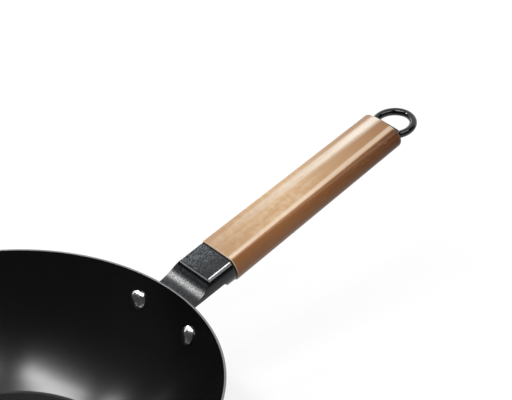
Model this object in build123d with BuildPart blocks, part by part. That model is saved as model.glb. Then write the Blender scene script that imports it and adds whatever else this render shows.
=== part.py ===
from build123d import *
import os
from math import cos, radians, sin, sqrt

# A carbon steel wok: a pressed bowl, a steel bracket riveted to its wall, and a wooden
# grip held on the bracket by a rod that ends in a hanging ring.
# The origin is the centre of the flat base, on the surface that the wok stands on.
# +Z is up and the handle points along +X. Lengths are millimetres, angles degrees.

# Bowl, pressed from one sheet: a spherical wall on a flat base
rim_radius = 160.0
base_radius = 87.74
bowl_height = 84.2
sheet = 1.6
base_bend = 4.0
rim_round = 0.4

# Rivets that hold the bracket to the wall
rivet_spacing = 59.1
rivet_drop = 18.4
rivet_shank = 6.5
rivet_head = 15.0
rivet_head_height = 3.3
rivet_head_edge = 0.9
rivet_tail = 11.5
rivet_tail_height = 2.6
rivet_tail_round = 1.2

# Clearances
seat_gap = 0.1
hole_clearance = 0.1
thread_gap = 0.05
bore_clearance = 0.5
tenon_gap = 0.25
overrun = 5.0

# Handle line: the front edge of the bracket's flat top, out from the rim and above it,
# and the rise of the handle
crease_run = 18.5
crease_rise = 11.6
handle_tilt = 15.0
rod_depth = 9.6

# Bracket, pressed from one plate
plate = 2.2
socket_length = 22.1
socket_top_half = 16.3
socket_side_half = 20.3
socket_low_half = 13.6
socket_side_level = 0.6
socket_low_level = 12.0
socket_crown = 0.3
socket_belly = 2.2
socket_top_round = 2.0
socket_low_round = 5.0
socket_rear_round = 0.5
corner_round = 0.6
crease_round = 0.7
riser_run = 1.0
riser_drop = 2.4
neck_drop = 9.0
neck_slope_run = 13.0
riser_bend = 6.5
neck_bend = 30.0
neck_reach = 34.0
flank_depth = 12.2
flank_end = 11.0
flank_sweep = 9.0
flank_bend = 2.5
wing_top_drop = 4.0
wing_shoulder_drop = 9.0
wing_bottom_drop = 30.5
wing_half = 39.5
wing_neck_half = 22.0
wing_round = 7.5

# Threaded plate and nut inside the socket
nut_plate = 2.5
nut_plate_start = 12.6
nut_plate_drop = 16.0
nut_flats = 10.0
nut_height = 5.0

# Heat gasket, wooden grip and its tenon
gasket = 1.4
gasket_inset = 0.5
grip_length = 176.7
grip_front_chamfer = 0.6
tenon_length = 8.0
front_top_half = 16.4
front_side_half = 20.7
front_low_half = 14.2
front_top_level = 10.2
front_side_level = 0.2
front_low_level = 13.4
front_crown = 0.4
front_belly = 2.2
front_top_round = 2.0
front_low_round = 6.0
tail_top_half = 15.8
tail_side_half = 20.2
tail_low_half = 15.0
tail_top_level = 8.5
tail_side_level = 1.0
tail_low_level = 7.6
tail_crown = 2.4
tail_belly = 2.9
tail_top_round = 5.5
tail_low_round = 6.5
tail_end_round = 3.6

# Rod and hanging ring
rod_diameter = 6.0
rod_lead = 1.2
rod_tip_chamfer = 0.8
ring_arc_radius = 15.3
ring_bar = 6.0
ring_offset = 6.8
ring_droop = 9.0
ring_base = 2.4
ring_base_width = 32.6
ring_base_height = 9.4
ring_boss = 11.0
ring_boss_length = 10.0
rod_engagement = 8.5

# The wall is part of a sphere about a point on the bowl's axis, through the rim and the
# edge of the base
wall_centre = (rim_radius ** 2 - base_radius ** 2 + bowl_height ** 2) / (2 * bowl_height)
outside = sqrt(base_radius ** 2 + wall_centre ** 2)
inside = outside - sheet


def wall_reach(radius, height):
    """Distance from the wok's axis to a sphere about the wall's centre, at a height."""
    return sqrt(radius ** 2 - (wall_centre - height) ** 2)


def rivet_plane(across):
    """Plane on the inside of the wall at a rivet, its Z axis pointing into the bowl."""
    height = bowl_height - rivet_drop
    reach = sqrt(wall_reach(inside, height) ** 2 - across ** 2)
    foot = Vector(reach, across, height)
    return Plane(origin=foot, x_dir=(-across, reach, 0), z_dir=Vector(0, 0, wall_centre) - foot)


rivet_planes = [rivet_plane(side * rivet_spacing / 2) for side in (-1, 1)]

# The handle plane cuts the handle square at the bracket's front edge. Its origin is on
# the rod's axis, its X axis points across the handle and its Z axis along it.
along_handle = Vector(cos(radians(handle_tilt)), 0, sin(radians(handle_tilt)))
up_handle = Vector(-sin(radians(handle_tilt)), 0, cos(radians(handle_tilt)))
crease = Vector(rim_radius + crease_run, 0, bowl_height + crease_rise)
handle_plane = Plane(origin=crease - up_handle * rod_depth, x_dir=(0, 1, 0), z_dir=along_handle)
side_plane = Plane(origin=crease, x_dir=along_handle, z_dir=(0, -1, 0))
rod_axis = Axis(handle_plane.origin, along_handle)

socket_half_depth = rod_depth + socket_low_level + socket_belly
grip_start = socket_length + gasket
grip_end = grip_start + grip_length


def loaf_section(plane, halves, levels, crown, belly, rounds, inset=0):
    """Sketch of the handle's section: a nearly flat top, full sides and a round belly."""
    top_half, side_half, low_half = halves
    top_level, side_level, low_level = levels
    top_round, low_round = (max(size - inset, corner_round) for size in rounds)
    with BuildSketch(plane) as section:
        with BuildLine():
            ThreePointArc((-top_half, top_level), (0, top_level + crown), (top_half, top_level))
            ThreePointArc((top_half, top_level), (side_half, side_level), (low_half, -low_level))
            ThreePointArc((low_half, -low_level), (0, -low_level - belly), (-low_half, -low_level))
            ThreePointArc((-low_half, -low_level), (-side_half, side_level), (-top_half, top_level))
        make_face()
        if inset:
            offset(amount=-inset, kind=Kind.INTERSECTION)
        corners = section.vertices().sort_by(Axis.Y)
        lower, upper = corners[:2], corners[2:]
        fillet(upper, radius=top_round)
        fillet(lower, radius=low_round)
    return section.sketch


def socket_section(distance, inset=0):
    """The bracket's section at a distance along the handle, inset all round by inset."""
    return loaf_section(
        handle_plane.offset(distance),
        (socket_top_half, socket_side_half, socket_low_half),
        (rod_depth, socket_side_level, socket_low_level),
        socket_crown,
        socket_belly,
        (socket_top_round, socket_low_round),
        inset,
    )


def front_section(distance):
    """The grip's flat-topped section at its front."""
    return loaf_section(
        handle_plane.offset(distance),
        (front_top_half, front_side_half, front_low_half),
        (front_top_level, front_side_level, front_low_level),
        front_crown,
        front_belly,
        (front_top_round, front_low_round),
    )


def tail_section(distance):
    """The grip's rounder section at its tail."""
    return loaf_section(
        handle_plane.offset(distance),
        (tail_top_half, tail_side_half, tail_low_half),
        (tail_top_level, tail_side_level, tail_low_level),
        tail_crown,
        tail_belly,
        (tail_top_round, tail_low_round),
    )


def neck_outline(thickness):
    """Sketch of the space above the neck's top skin, pushed down by a thickness."""
    above = rod_depth + overrun
    with BuildSketch(side_plane) as outline:
        with BuildLine():
            FilletPolyline(
                (-neck_reach - overrun, -neck_drop - thickness),
                (-neck_slope_run, -neck_drop - thickness),
                (-riser_run, -riser_drop - thickness),
                (thickness, -thickness),
                radius=(neck_bend, riser_bend),
            )
            Line((thickness, -thickness), (thickness, above))
            Line((thickness, above), (-neck_reach - overrun, above))
            Line((-neck_reach - overrun, above), (-neck_reach - overrun, -neck_drop - thickness))
        make_face()
    return outline.sketch


with BuildPart() as wok_bowl:
    with BuildSketch(Plane.XZ) as bowl_section:
        half_height = bowl_height / 2
        with BuildLine():
            Line((0, 0), (wall_reach(outside, 0), 0))
            ThreePointArc(
                (wall_reach(outside, 0), 0),
                (wall_reach(outside, half_height), half_height),
                (rim_radius, bowl_height),
            )
            Line((rim_radius, bowl_height), (wall_reach(inside, bowl_height), bowl_height))
            ThreePointArc(
                (wall_reach(inside, bowl_height), bowl_height),
                (wall_reach(inside, half_height), half_height),
                (wall_reach(inside, sheet), sheet),
            )
            Line((wall_reach(inside, sheet), sheet), (0, sheet))
            Line((0, sheet), (0, 0))
        make_face()
        outer_corner = (wall_reach(outside, 0), 0)
        fillet(bowl_section.vertices().sort_by_distance(outer_corner)[0], radius=base_bend + sheet)
        inner_corner = (wall_reach(inside, sheet), sheet)
        fillet(bowl_section.vertices().sort_by_distance(inner_corner)[0], radius=base_bend)
        fillet(bowl_section.vertices().group_by(Axis.Y)[-1], radius=rim_round)
    revolve(axis=Axis.Z)
    with Locations(*[plane.offset(overrun) for plane in rivet_planes]):
        Hole(radius=(rivet_shank + hole_clearance) / 2, depth=2 * overrun + sheet)
wok_bowl.part.label = "wok_bowl"

# The rivets stand square to the wall, with their domed heads inside the bowl. The heads
# bear on the curved wall at their edge, and the tails are closed over the bracket.
head_radius = rivet_head / 2
shank_radius = rivet_shank / 2
tail_radius = rivet_tail / 2
under_head = seat_gap + head_radius ** 2 / (2 * inside)
head_top = under_head + rivet_head_height
dome_rise = rivet_head_height - rivet_head_edge
dome_radius = (head_radius ** 2 + dome_rise ** 2) / (2 * dome_rise)
tail_start = -(sheet + seat_gap + plate + seat_gap)
tail_end = tail_start - rivet_tail_height
with BuildPart() as bowl_rivets:
    for plane in rivet_planes:
        half_plane = Plane(origin=plane.origin, x_dir=plane.x_dir, z_dir=-plane.y_dir)
        with BuildSketch(half_plane) as rivet_section:
            with BuildLine():
                Polyline(
                    (0, head_top),
                    (0, tail_end),
                    (tail_radius, tail_end),
                    (tail_radius, tail_start),
                    (shank_radius, tail_start),
                    (shank_radius, under_head),
                    (head_radius, under_head),
                    (head_radius, under_head + rivet_head_edge),
                )
                RadiusArc((head_radius, under_head + rivet_head_edge), (0, head_top), -dome_radius)
            make_face()
            tail_corner = rivet_section.vertices().sort_by_distance((tail_radius, tail_end))[0]
            fillet(tail_corner, radius=rivet_tail_round)
        revolve(axis=Axis(plane.origin, plane.z_dir))
bowl_rivets.part.label = "bowl_rivets"

# The bracket's wings follow the outside of the wall, and the rivets pass through them
seat_radius = outside + seat_gap
with BuildPart() as riveting_wings:
    with BuildSketch(Plane.YZ.offset(rim_radius / 2)) as wing_outline:
        with BuildLine():
            Polyline(
                (-wing_neck_half, bowl_height - wing_top_drop),
                (wing_neck_half, bowl_height - wing_top_drop),
                (wing_half, bowl_height - wing_shoulder_drop),
                (wing_half - wing_round / 2, bowl_height - wing_bottom_drop),
                (-wing_half + wing_round / 2, bowl_height - wing_bottom_drop),
                (-wing_half, bowl_height - wing_shoulder_drop),
                close=True,
            )
        make_face()
        corners = wing_outline.vertices().sort_by(Axis.Y)
        fillet(corners[:-2], radius=wing_round)
    extrude(amount=rim_radius)
    with Locations((0, 0, wall_centre)):
        Sphere(radius=seat_radius + plate, mode=Mode.INTERSECT)
        Sphere(radius=seat_radius, mode=Mode.SUBTRACT)

with BuildPart() as neck_core:
    inner_section = socket_section(-neck_reach - overrun, inset=plate)
    extrude(inner_section, amount=neck_reach + socket_length + 2 * overrun)
    extrude(neck_outline(plate), amount=2 * socket_side_half, both=True, mode=Mode.SUBTRACT)

with BuildPart() as handle_bracket:
    extrude(socket_section(-neck_reach), amount=neck_reach + socket_length)
    rear_rim = handle_bracket.faces().sort_by(Axis.X)[-1].outer_wire().edges()
    fillet(rear_rim, radius=socket_rear_round)
    extrude(neck_outline(0), amount=2 * socket_side_half, both=True, mode=Mode.SUBTRACT)
    fillet(handle_bracket.edges().sort_by_distance(crease)[0], radius=crease_round)
    add(neck_core.part, mode=Mode.SUBTRACT)
    with BuildSketch(side_plane) as under_flanks:
        with BuildLine():
            below = -socket_half_depth - rod_depth
            FilletPolyline(
                (-neck_reach - overrun, -flank_depth),
                (flank_end, -flank_depth),
                (flank_end + flank_sweep, below),
                radius=flank_bend,
            )
            Line((flank_end + flank_sweep, below), (-neck_reach - overrun, below))
            Line((-neck_reach - overrun, below), (-neck_reach - overrun, -flank_depth))
        make_face()
    extrude(amount=2 * socket_side_half, both=True, mode=Mode.SUBTRACT)
    with Locations((0, 0, wall_centre)):
        Sphere(radius=seat_radius, mode=Mode.SUBTRACT)
    add(riveting_wings.part)
    with Locations(*[plane.offset(overrun) for plane in rivet_planes]):
        Hole(radius=(rivet_shank + hole_clearance) / 2, depth=2 * overrun + sheet + plate)
handle_bracket.part.label = "handle_bracket"

# A plate welded across the socket, with a hole for the rod, and the nut welded to its front
plate_section = socket_section(nut_plate_start, inset=plate + seat_gap)
nut_front = nut_plate_start - nut_height
with BuildPart() as socket_plate:
    extrude(plate_section, amount=nut_plate)
    with BuildSketch(side_plane) as below_plate:
        with Locations((nut_plate_start, -nut_plate_drop)):
            Rectangle(4 * nut_plate, 2 * rod_depth, align=(Align.CENTER, Align.MAX))
    extrude(amount=2 * socket_side_half, both=True, mode=Mode.SUBTRACT)
    with Locations(handle_plane.offset(nut_plate_start + nut_plate)):
        Hole(radius=(rod_diameter + hole_clearance) / 2, depth=nut_plate)
socket_plate.part.label = "socket_plate"

with BuildPart() as rod_nut:
    with BuildSketch(handle_plane.offset(nut_front)):
        RegularPolygon(radius=nut_flats / 2, side_count=6, major_radius=False)
        Circle(radius=rod_diameter / 2 + thread_gap, mode=Mode.SUBTRACT)
    extrude(amount=nut_height)
rod_nut.part.label = "rod_nut"

with BuildPart() as heat_gasket:
    extrude(socket_section(socket_length, inset=gasket_inset), amount=gasket)
    extrude(
        socket_section(socket_length, inset=plate + tenon_gap / 2),
        amount=gasket,
        mode=Mode.SUBTRACT,
    )
heat_gasket.part.label = "heat_gasket"

with BuildPart() as wood_grip:
    loft([front_section(grip_start), tail_section(grip_end)], ruled=True)
    tail_face = wood_grip.faces().sort_by(rod_axis)[-1]
    fillet(tail_face.outer_wire().edges(), radius=tail_end_round)
    front_face = wood_grip.faces().sort_by(rod_axis)[0]
    chamfer(front_face.outer_wire().edges(), length=grip_front_chamfer)
    extrude(socket_section(grip_start, inset=plate + tenon_gap), amount=-tenon_length)
    with Locations(handle_plane.offset(grip_end)):
        Hole(radius=rod_diameter / 2 + bore_clearance, depth=grip_length + tenon_length)
        Hole(radius=ring_boss / 2 + hole_clearance, depth=ring_boss_length + bore_clearance)
wood_grip.part.label = "wood_grip"

rod_front = nut_front - rod_lead
rod_rear = grip_end - ring_boss_length + rod_engagement
with BuildPart() as tie_rod:
    with BuildSketch(handle_plane.offset(rod_front)):
        Circle(radius=rod_diameter / 2)
    extrude(amount=rod_rear - rod_front)
    chamfer(tie_rod.edges().filter_by(GeomType.CIRCLE), length=rod_tip_chamfer)
tie_rod.part.label = "tie_rod"

# The ring is an open loop of round bar cast onto a flat base, with a threaded boss that
# sits in the grip's tail.
base_start = grip_end + seat_gap
base_end = base_start + ring_base
ring_tilt = radians(handle_tilt - ring_droop)
ring_plane = Plane(
    origin=handle_plane.origin + along_handle * base_end,
    x_dir=(cos(ring_tilt), 0, sin(ring_tilt)),
    z_dir=(-sin(ring_tilt), 0, cos(ring_tilt)),
)
leg_depth = ring_base / 2
leg_across = sqrt(ring_arc_radius ** 2 - (ring_offset + leg_depth) ** 2)
with BuildPart() as hanging_ring:
    with BuildLine(ring_plane) as loop:
        ThreePointArc(
            (-leg_depth, -leg_across),
            (ring_offset + ring_arc_radius, 0),
            (-leg_depth, leg_across),
        )
    with BuildSketch(Plane(origin=loop.line @ 0, z_dir=loop.line % 0)):
        Circle(radius=ring_bar / 2)
    sweep()
    split(bisect_by=handle_plane.offset(base_start), keep=Keep.TOP)
    with BuildSketch(handle_plane.offset(base_start)):
        SlotOverall(ring_base_width, ring_base_height)
    extrude(amount=ring_base)
    with BuildSketch(handle_plane.offset(base_start)):
        Circle(radius=ring_boss / 2)
    extrude(amount=-ring_boss_length)
    with Locations(handle_plane.offset(base_start - ring_boss_length)):
        Hole(radius=rod_diameter / 2 + thread_gap, depth=rod_engagement + rod_tip_chamfer)
hanging_ring.part.label = "hanging_ring"

pieces = (
    wok_bowl,
    bowl_rivets,
    handle_bracket,
    socket_plate,
    rod_nut,
    heat_gasket,
    wood_grip,
    tie_rod,
    hanging_ring,
)
os.makedirs("parts", exist_ok=True)
for piece in pieces:
    export_step(piece.part, f"parts/{piece.part.label}.step")
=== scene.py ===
from math import cos, radians, sin

import bpy
from mathutils import Matrix, Vector


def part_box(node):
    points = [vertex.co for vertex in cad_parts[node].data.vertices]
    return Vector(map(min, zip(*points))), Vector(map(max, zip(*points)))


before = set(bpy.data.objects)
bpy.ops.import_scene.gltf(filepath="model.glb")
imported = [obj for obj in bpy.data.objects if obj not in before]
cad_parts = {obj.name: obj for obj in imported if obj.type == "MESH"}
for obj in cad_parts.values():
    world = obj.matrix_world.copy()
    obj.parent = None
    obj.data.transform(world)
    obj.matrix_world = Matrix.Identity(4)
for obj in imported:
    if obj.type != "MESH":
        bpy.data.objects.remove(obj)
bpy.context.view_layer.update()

# Height of the rim, read from the frame. All lengths are in metres.
rim_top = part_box("wok_bowl")[1].z

# The handle rises along +X, so its own frame is the object's turned about Y.
# The levels of the grip's upper edge there are taken from the rod's axis.
handle_tilt = radians(15)
handle_rotation = (0, handle_tilt, 0)
rod_height = 0.03674
crease_along = 0.19721
grip_front = 0.22071
grip_length = 0.1767
grip_front_level = 0.0102
grip_tail_level = 0.0085

# Camera, at the photograph's viewing angle, with its lens and sensor in millimetres
look_at = Vector((0.184, -0.0644, 0.1898))
view_azimuth = radians(41.07)
view_elevation = radians(34.43)
view_distance = 1.98
view_lens = 193.1
view_sensor = 36

# Colours, linear
bowl_black = (0.0022, 0.0023, 0.0025, 1)
bowl_brown = (0.0038, 0.0034, 0.0031, 1)
bare_steel = (0.20, 0.20, 0.212, 1)
bracket_black = (0.0025, 0.003, 0.0035, 1)
# A painted sheen: the grey that the bracket's upper skins would mirror
bracket_sheen_grey = (0.105, 0.118, 0.135, 1)
worn_steel = (0.82, 0.83, 0.85, 1)
rivet_steel = (0.86, 0.86, 0.85, 1)
zinc = (0.52, 0.55, 0.58, 1)
zinc_bright = (0.66, 0.68, 0.70, 1)
rubber_black = (0.002, 0.002, 0.002, 1)
enamel_black = (0.003, 0.0033, 0.0045, 1)
wood_pale = (0.560, 0.385, 0.225, 1)
wood_mid = (0.445, 0.265, 0.130, 1)
wood_fibre = (0.330, 0.165, 0.070, 1)
# Painted shade on the grip's sides, at its front
wood_side_shade = (0.300, 0.125, 0.045, 1)
wood_fleck = (0.420, 0.190, 0.060, 1)
# The wood's pale figure, and also a painted highlight along the grip's near edge
wood_sap_and_highlight = (0.730, 0.600, 0.460, 1)
# A painted sheen along the middle of the grip's top
wood_sheen_white = (0.780, 0.700, 0.600, 1)
wood_heart = (0.260, 0.130, 0.062, 1)
# Painted shade on the grip's sides, towards its tail
wood_tail_shade = (0.080, 0.022, 0.005, 1)
floor_seen = (0.96, 0.96, 0.96, 1)
floor_bounce = (0.30, 0.30, 0.30, 1)
wall_grey = (0.10, 0.10, 0.10, 1)
white = (1, 1, 1, 1)

# Stage. The floor lies just under the bowl's flat base, so the two never share a plane.
floor_reach = 6.0
floor_level = -0.0001
floor_glow = 0.75
floor_roughness = 0.9
wall_start = radians(112)
wall_end = radians(345)
wall_steps = 24
wall_distance = 3.0
wall_height = 3.2
hood_radius = 0.8
hood_height = 3.6

# Light, as radiance, where 1 shows as white
world_light = 0.33
world_seen = 1.0
lamp_distance = 2.4
lamp_power_factor = 4  # an area lamp's radiance is its power over four times its area

# Soft lamps: direction from the handle, direction of the length, length, width and radiance
softboxes = {
    "key": ((-0.43, 0.16, 0.885), (-0.04, 0.97, -0.23), 1.5, 0.32, 16),
    "neck_key": ((-0.36, 0.665, 0.66), (0.87, 0, 0.50), 0.55, 0.22, 30),
    "corner_strip": ((0.15, -0.45, 0.88), (0.10, -0.80, -0.40), 1.2, 2.0, 2.6),
    "sweep": ((0.33, 0.92, 0.25), (0.94, -0.34, 0), 2.0, 0.8, 1.5),
}


def add_camera():
    away = Vector((
        -sin(view_azimuth) * cos(view_elevation),
        -cos(view_azimuth) * cos(view_elevation),
        sin(view_elevation),
    ))
    camera = bpy.data.objects.new("camera", bpy.data.cameras.new("camera"))
    camera.location = look_at + away * view_distance
    camera.rotation_euler = away.to_track_quat("Z", "Y").to_euler()
    camera.data.lens = view_lens
    camera.data.sensor_width = view_sensor
    bpy.context.scene.collection.objects.link(camera)
    bpy.context.scene.camera = camera


def add_softbox(name, towards, length_along, length, width, radiance):
    away = Vector(towards).normalized()
    across = away.cross(Vector(length_along)).normalized()
    along = across.cross(away)
    lamp = bpy.data.lights.new(name, "AREA")
    lamp.shape = "RECTANGLE"
    lamp.size = length
    lamp.size_y = width
    lamp.energy = lamp_power_factor * length * width * radiance
    holder = bpy.data.objects.new(name, lamp)
    holder.location = look_at + away * lamp_distance
    holder.rotation_euler = Matrix((along, across, away)).transposed().to_euler()
    bpy.context.scene.collection.objects.link(holder)


class Nodes:
    """A node tree with short ways to add and link nodes.

    Most ramps below are kept as four numbers: the values at which the ramp starts and ends,
    and then what it gives before and after.
    """

    def __init__(self, tree):
        self.nodes = tree.nodes
        self.links = tree.links

    def add(self, kind, **settings):
        node = self.nodes.new(kind)
        for name, value in settings.items():
            setattr(node, name, value)
        return node

    def put(self, socket, value):
        """Links a node's output to a socket, or sets the socket to a plain value."""
        if isinstance(value, bpy.types.NodeSocket):
            self.links.new(value, socket)
        else:
            socket.default_value = value

    def split(self, vector):
        parts = self.add("ShaderNodeSeparateXYZ")
        self.put(parts.inputs["Vector"], vector)
        return parts.outputs

    def noise(self, vector, scale=1.0, detail=3.0, roughness=0.5, distortion=0.0):
        cloud = self.add("ShaderNodeTexNoise")
        self.put(cloud.inputs["Vector"], vector)
        self.put(cloud.inputs["Scale"], scale)
        self.put(cloud.inputs["Detail"], detail)
        self.put(cloud.inputs["Roughness"], roughness)
        self.put(cloud.inputs["Distortion"], distortion)
        return cloud.outputs["Fac"]

    def ramp(self, value, start, end, before, after, smooth=False):
        span = self.add("ShaderNodeMapRange")
        span.interpolation_type = "SMOOTHSTEP" if smooth else "LINEAR"
        self.put(span.inputs["Value"], value)
        self.put(span.inputs["From Min"], start)
        self.put(span.inputs["From Max"], end)
        self.put(span.inputs["To Min"], before)
        self.put(span.inputs["To Max"], after)
        return span.outputs["Result"]

    def mix(self, share, first, second):
        blend = self.add("ShaderNodeMix", data_type="RGBA")
        self.put(blend.inputs["Factor"], share)
        self.put(blend.inputs["A"], first)
        self.put(blend.inputs["B"], second)
        return blend.outputs["Result"]

    def maths(self, operation, first, second=0.0):
        step = self.add("ShaderNodeMath", operation=operation)
        self.put(step.inputs[0], first)
        self.put(step.inputs[1], second)
        return step.outputs["Value"]

    def product(self, *shares):
        whole = shares[0]
        for share in shares[1:]:
            whole = self.maths("MULTIPLY", whole, share)
        return whole

    def distance(self, value, middle):
        return self.maths("ABSOLUTE", self.maths("SUBTRACT", value, middle))

    def seen(self):
        """1 for rays from the camera, a mirror or glass, and 0 for the rays that carry light."""
        path = self.add("ShaderNodeLightPath").outputs
        mirrored = self.maths("ADD", path["Is Glossy Ray"], path["Is Transmission Ray"])
        return self.maths("ADD", path["Is Camera Ray"], mirrored)


class Shader(Nodes):
    """The nodes of a new material."""

    def __init__(self, name):
        self.material = bpy.data.materials.new(name)
        self.material.use_nodes = True
        super().__init__(self.material.node_tree)
        self.surface = self.nodes["Principled BSDF"]
        self.place = self.add("ShaderNodeTexCoord").outputs["Object"]

    def set(self, **values):
        """Sets the shader's own sockets, whose names are written with underscores."""
        for name, value in values.items():
            self.put(self.surface.inputs[name.replace("_", " ")], value)

    def in_handle_frame(self, vector):
        """A vector's parts along the handle, across it and up from it."""
        turn = self.add("ShaderNodeMapping")
        self.put(turn.inputs["Vector"], vector)
        self.put(turn.inputs["Rotation"], handle_rotation)
        return turn.outputs["Vector"]

    def stretched(self, vector, scale):
        size = self.add("ShaderNodeVectorMath", operation="MULTIPLY")
        self.put(size.inputs[0], vector)
        self.put(size.inputs[1], scale)
        return size.outputs["Vector"]

    def bump(self, height, distance, strength):
        relief = self.add("ShaderNodeBump")
        self.put(relief.inputs["Height"], height)
        self.put(relief.inputs["Distance"], distance)
        self.put(relief.inputs["Strength"], strength)
        return relief.outputs["Normal"]


def seasoned_steel():
    """Satin black wall, with a bare steel edge where the sheet was cut at the rim."""
    brown_patches = (0.42, 0.7, 0, 1)
    gloss = (0.3, 0.7, 0.2, 0.25)
    bare_start, bare_full = 0.0003, 0.00015
    bare_roughness = 0.25

    shader = Shader("seasoned_steel")
    patches = shader.noise(shader.place, scale=14, detail=4)
    grain = shader.noise(shader.place, scale=1500, detail=2)
    colour = shader.mix(shader.ramp(patches, *brown_patches), bowl_black, bowl_brown)
    height = shader.split(shader.place)["Z"]
    bare = shader.ramp(height, rim_top - bare_start, rim_top - bare_full, 0, 1, smooth=True)
    satin = shader.ramp(grain, *gloss)
    shader.set(
        Base_Color=shader.mix(bare, colour, bare_steel),
        Metallic=bare,
        Roughness=shader.maths("ADD", satin, shader.product(bare, bare_roughness)),
        Normal=shader.bump(grain, distance=0.00002, strength=0.3),
        Specular_IOR_Level=0.6,
    )
    return shader.material


def bracket_enamel():
    """Black enamel, with a painted grey sheen in mottled blotches on its upper skins, and rubbed bright
    along the socket's edges.
    """
    # Ramps over the noises
    worm_blotches = (0.44, 0.6, 0, 1)
    speck_blotches = (0.66, 0.72, 0, 1)
    corner_wear = (0.35, 0.6, 0.7, 0.95)
    crease_wear = (0.35, 0.6, 0.6, 1.0)
    gloss = (0.3, 0.7, 0.18, 0.3)
    # Ramps over parts of the unit normal
    faces_up = (0.82, 0.95, 0, 1)
    faces_outward = (0.25, 0.45, 0, 1)
    not_quite_aside = (0.8, 0.92, 1, 0)
    not_downward = (0.2, 0.35, 0, 1)
    faces_forward = (-0.08, -0.2, 0, 1)
    not_end_on = (-0.85, -0.92, 1, 0)
    # Ramps over places
    far_half = (-0.012, 0.012, 0.25, 1)
    crease_blend = 0.001
    on_socket_share = (crease_along - crease_blend, crease_along, 0.35, 1)
    corner_low, corner_high = 0.0072, 0.0082
    above_side = (rod_height + corner_low, rod_height + corner_high, 0, 1)
    crease_line = (0.0008, 0.0011, 1, 0)
    streak_share = 0.5
    crease_roughness = 0.25

    shader = Shader("bracket_enamel")
    normal = shader.add("ShaderNodeTexCoord").outputs["Normal"]
    facing = shader.split(shader.in_handle_frame(normal))
    turned = shader.in_handle_frame(shader.place)
    place = shader.split(turned)
    worms = shader.noise(shader.place, scale=520, detail=2, roughness=0.55, distortion=1.6)
    specks = shader.noise(shader.place, scale=1500, detail=1)
    streaks = shader.noise(shader.stretched(turned, (180, 620, 620)), detail=2)

    # Painted reflection: a grey sheen on the upper skins, broken into blotches of the enamel's mottling,
    # stronger on the socket and lighter on its far half
    blotched = shader.maths(
        "MAXIMUM",
        shader.ramp(worms, *worm_blotches, smooth=True),
        shader.ramp(specks, *speck_blotches),
    )
    on_socket = shader.ramp(place["X"], *on_socket_share)
    mottled_sheen = shader.product(
        shader.ramp(facing["Z"], *faces_up),
        shader.ramp(place["Y"], *far_half, smooth=True),
        on_socket,
        blotched,
    )
    enamel = shader.mix(mottled_sheen, bracket_black, bracket_sheen_grey)

    # Bare metal on the rounds beside the socket's top, and a thin line along its front edge
    aside = shader.maths("ABSOLUTE", facing["Y"])
    corner = shader.product(
        shader.ramp(aside, *faces_outward, smooth=True),
        shader.ramp(aside, *not_quite_aside, smooth=True),
        shader.ramp(facing["Z"], *not_downward),
        shader.ramp(place["Z"], *above_side),
        shader.ramp(shader.noise(shader.place, scale=160, detail=3), *corner_wear),
    )
    front = shader.product(
        shader.ramp(shader.distance(place["X"], crease_along), *crease_line),
        shader.ramp(facing["X"], *faces_forward, smooth=True),
        shader.ramp(facing["X"], *not_end_on, smooth=True),
        shader.ramp(shader.noise(shader.place, scale=220, detail=3), *crease_wear),
    )
    rubbed = shader.maths("MAXIMUM", corner, front)

    # The neck is smoother than the socket
    texture = shader.maths("ADD", worms, shader.product(streaks, streak_share))
    satin = shader.ramp(worms, *gloss)
    shader.set(
        Base_Color=shader.mix(rubbed, enamel, worn_steel),
        Metallic=rubbed,
        Roughness=shader.maths("ADD", satin, shader.product(front, crease_roughness)),
        Normal=shader.bump(shader.product(on_socket, texture), distance=0.00002, strength=0.5),
        Specular_IOR_Level=0.36,
    )
    return shader.material


def polished_steel():
    """Polished rivets with fine wiping marks."""
    gloss = (0.3, 0.7, 0.1, 0.2)

    shader = Shader("polished_steel")
    marks = shader.noise(shader.stretched(shader.place, (500, 2600, 900)), detail=3)
    shader.set(
        Base_Color=rivet_steel,
        Metallic=1.0,
        Roughness=shader.ramp(marks, *gloss),
        Normal=shader.bump(marks, distance=0.00002, strength=0.3),
    )
    return shader.material


def zinc_plate():
    """Zinc on the rod, the nut and the plate inside the handle."""
    gloss = (0, 1, 0.28, 0.45)

    shader = Shader("zinc_plate")
    spangle = shader.noise(shader.place, scale=420, detail=2)
    shader.set(
        Base_Color=shader.mix(spangle, zinc, zinc_bright),
        Metallic=1.0,
        Roughness=shader.ramp(spangle, *gloss),
        Normal=shader.bump(spangle, distance=0.00003, strength=0.4),
    )
    return shader.material


def gasket_rubber():
    """Matt black rubber."""
    gloss = (0, 1, 0.55, 0.7)

    shader = Shader("gasket_rubber")
    grain = shader.noise(shader.place, scale=1500, detail=2)
    shader.set(
        Base_Color=rubber_black,
        Roughness=shader.ramp(grain, *gloss),
        Normal=shader.bump(grain, distance=0.00004, strength=0.4),
        Specular_IOR_Level=0.25,
    )
    return shader.material


def ring_enamel():
    """Glossy black enamel with a little orange peel, over a cast ring."""
    gloss = (0, 1, 0.05, 0.12)

    shader = Shader("ring_enamel")
    peel = shader.noise(shader.place, scale=330, detail=2)
    shader.set(
        Base_Color=enamel_black,
        Roughness=shader.ramp(peel, *gloss),
        Normal=shader.bump(peel, distance=0.00008, strength=0.5),
    )
    return shader.material


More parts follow.
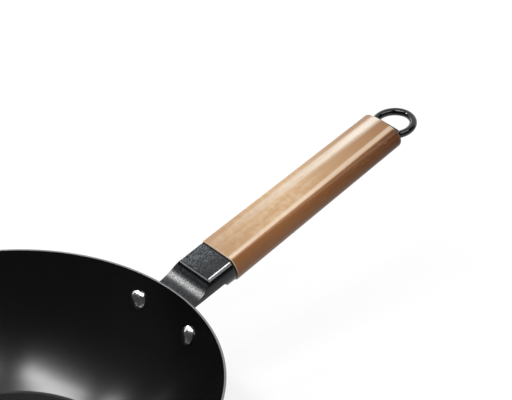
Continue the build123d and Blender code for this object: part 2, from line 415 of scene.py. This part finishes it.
def varnished_wood():
    """Light brown wood with its grain along the handle, under a clear varnish, with painted shade down
    its sides and a painted sheen and a painted highlight along its top.
    """
    # Ramps over the noises
    mid_bands = (0.22, 0.82, 0, 1)
    fibre_share = (0.5, 0.75, 0, 0.4)
    fleck_share = (0.62, 0.75, 0, 0.45)
    blotch_share = (0.45, 0.75, 0, 0.2)
    figure_share = (0.42, 0.68, 0, 0.3)
    gloss = (0.3, 0.7, 0.32, 0.46)
    # Ramps over the share of the grip's length
    front_age = (0, 0.25, 0.35, 0)
    tail_age = (0.45, 1.0, 0, 0.9)
    # How the painted shade on the sides darkens towards the tail
    side_darkening = (0.3, 1.0, 0, 0.9)
    # How the painted sheen grows towards the tail
    middle_strength = (0.1, 0.9, 0.12, 1)
    figure_end = (0.45, 0.75, 1, 0)
    # Ramps over distances
    middle_strip = (0.0012, 0.0070, 1, 0)
    edge_strip = (0.0008, 0.0028, 1, 0)
    below_edge = (-0.0022, 0.0002, 1, 0)
    outside_edge = (-0.0034, -0.0014, 1, 0)
    # The pale line around the grip's front end, where its edge was cut
    cut_start, cut_end, cut_share = 0.0005, 0.0009, 0.6
    cut_line = (grip_front + cut_start, grip_front + cut_end, cut_share, 0)
    # Places across the grip and strengths, at its front and at its tail
    middle_place = (0.0085, 0.0055)
    near_edge_place = (-0.0138, -0.0108)
    edge_strength = (0.9, 0.6)
    edge_level = (rod_height + grip_front_level, rod_height + grip_tail_level)
    noise_middle = 0.5
    waver = 0.003

    shader = Shader("varnished_wood")
    turned = shader.in_handle_frame(shader.place)
    place = shader.split(turned)
    bands = shader.noise(shader.stretched(turned, (4, 110, 110)), detail=4, distortion=0.8)
    fibres = shader.noise(shader.stretched(turned, (14, 900, 900)), detail=4, roughness=0.6)
    flecks = shader.noise(shader.stretched(turned, (150, 700, 700)), detail=2)
    blotches = shader.noise(shader.stretched(turned, (18, 50, 50)), detail=2)
    figure = shader.noise(shader.stretched(turned, (210, 150, 150)), detail=3)

    def along_grip(at_front, at_tail):
        return shader.ramp(place["X"], grip_front, grip_front + grip_length, at_front, at_tail)

    along = along_grip(0, 1)
    shift = shader.product(shader.maths("SUBTRACT", bands, noise_middle), waver)
    across = shader.maths("ADD", place["Y"], shift)

    # Painted reflections: a pale sheen along the middle of the top, stronger towards the tail, and a thin
    # painted highlight at the near edge
    near_edge = along_grip(*near_edge_place)
    from_middle = shader.distance(across, along_grip(*middle_place))
    middle_sheen = shader.product(
        shader.ramp(from_middle, *middle_strip, smooth=True),
        shader.ramp(along, *middle_strength),
    )
    edge_highlight = shader.product(
        shader.ramp(shader.distance(across, near_edge), *edge_strip, smooth=True),
        along_grip(*edge_strength),
    )
    broad = shader.mix(shader.ramp(bands, *mid_bands), wood_pale, wood_mid)
    rippled = shader.product(shader.ramp(figure, *figure_share), shader.ramp(along, *figure_end))
    figured = shader.mix(rippled, broad, wood_sap_and_highlight)
    ends = shader.maths("MAXIMUM", shader.ramp(along, *tail_age), shader.ramp(along, *front_age))
    aged = shader.mix(ends, figured, wood_heart)
    top = shader.mix(edge_highlight, shader.mix(middle_sheen, aged, wood_sheen_white), wood_sap_and_highlight)

    # Painted shade: the sides are brown from just outside that edge, darker towards the tail
    over_edge = shader.maths("SUBTRACT", place["Z"], along_grip(*edge_level))
    inside_edge = shader.maths("SUBTRACT", across, near_edge)
    down = shader.maths(
        "MAXIMUM",
        shader.ramp(over_edge, *below_edge, smooth=True),
        shader.ramp(inside_edge, *outside_edge, smooth=True),
    )
    side_shading = shader.mix(shader.ramp(along, *side_darkening), wood_side_shade, wood_tail_shade)
    side_shaded = shader.mix(down, top, side_shading)
    toned = shader.mix(shader.ramp(fibres, *fibre_share), side_shaded, wood_fibre)
    flecked = shader.mix(shader.ramp(flecks, *fleck_share), toned, wood_fleck)
    clouded = shader.mix(shader.ramp(blotches, *blotch_share), flecked, wood_heart)
    shader.set(
        Base_Color=shader.mix(shader.ramp(place["X"], *cut_line), clouded, wood_sap_and_highlight),
        Roughness=shader.ramp(fibres, *gloss),
        Normal=shader.bump(fibres, distance=0.00003, strength=0.4),
        Specular_IOR_Level=0.12,
        Coat_Weight=0.22,
        Coat_Roughness=0.24,
    )
    return shader.material


finishes = {
    "wok_bowl": seasoned_steel,
    "bowl_rivets": polished_steel,
    "handle_bracket": bracket_enamel,
    "socket_plate": zinc_plate,
    "rod_nut": zinc_plate,
    "tie_rod": zinc_plate,
    "heat_gasket": gasket_rubber,
    "wood_grip": varnished_wood,
    "hanging_ring": ring_enamel,
}


def dress_nodes():
    made = {}
    for name, finish in finishes.items():
        if finish not in made:
            made[finish] = finish()
        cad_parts[name].data.materials[0] = made[finish]


def add_mesh(name, corners, faces, material):
    mesh = bpy.data.meshes.new(name)
    mesh.from_pydata(corners, [], faces)
    mesh.materials.append(material)
    piece = bpy.data.objects.new(name, mesh)
    bpy.context.scene.collection.objects.link(piece)
    return piece


def add_floor():
    """A pale floor that shows white and keeps the object's shadow, but throws little light back up."""
    shader = Shader("floor_paper")
    is_bounce = shader.add("ShaderNodeLightPath").outputs["Is Diffuse Ray"]
    shader.set(
        Base_Color=shader.mix(is_bounce, floor_seen, floor_bounce),
        Roughness=floor_roughness,
        Specular_IOR_Level=0.0,
    )
    backlit = shader.add("ShaderNodeMixShader")
    shader.put(backlit.inputs["Fac"], shader.product(shader.seen(), floor_glow))
    shader.put(backlit.inputs[1], shader.surface.outputs["BSDF"])
    shader.put(backlit.inputs[2], shader.add("ShaderNodeEmission").outputs["Emission"])
    shader.put(shader.nodes["Material Output"].inputs["Surface"], backlit.outputs["Shader"])

    sides = ((-1, -1), (1, -1), (1, 1), (-1, 1))
    corners = [(x * floor_reach, y * floor_reach, floor_level) for x, y in sides]
    floor = add_mesh("floor", corners, [(0, 1, 2, 3)], shader.material)


def add_walls():
    """Dark walls and a hood at the left and front, which only the black pieces mirror."""
    shader = Shader("wall_paint")
    shader.set(Base_Color=wall_grey, Roughness=1.0)

    turn = wall_end - wall_start
    angles = [wall_start + turn * step / wall_steps for step in range(wall_steps + 1)]
    rings = ((wall_distance, 0), (wall_distance, wall_height), (hood_radius, hood_height))
    corners = [
        (radius * cos(angle), radius * sin(angle), height)
        for radius, height in rings
        for angle in angles
    ]
    count = len(angles)
    feet = [row * count + step for row in range(len(rings) - 1) for step in range(wall_steps)]
    faces = [(foot, foot + 1, foot + count + 1, foot + count) for foot in feet]
    walls = add_mesh("walls", corners, faces, shader.material)
    walls.visible_camera = False
    walls.visible_diffuse = False
    walls.visible_shadow = False


def set_world():
    """Soft light all round, and white where the background shows or is mirrored."""
    world = bpy.data.worlds.new("studio")
    bpy.context.scene.world = world
    world.use_nodes = True
    studio = Nodes(world.node_tree)
    background = studio.nodes["Background"].inputs
    studio.put(background["Color"], white)
    studio.put(background["Strength"], studio.ramp(studio.seen(), 0, 1, world_light, world_seen))


add_camera()
dress_nodes()
add_floor()
add_walls()
set_world()
for name, values in softboxes.items():
    add_softbox(name, *values)

bpy.context.scene.view_settings.view_transform = "Standard"
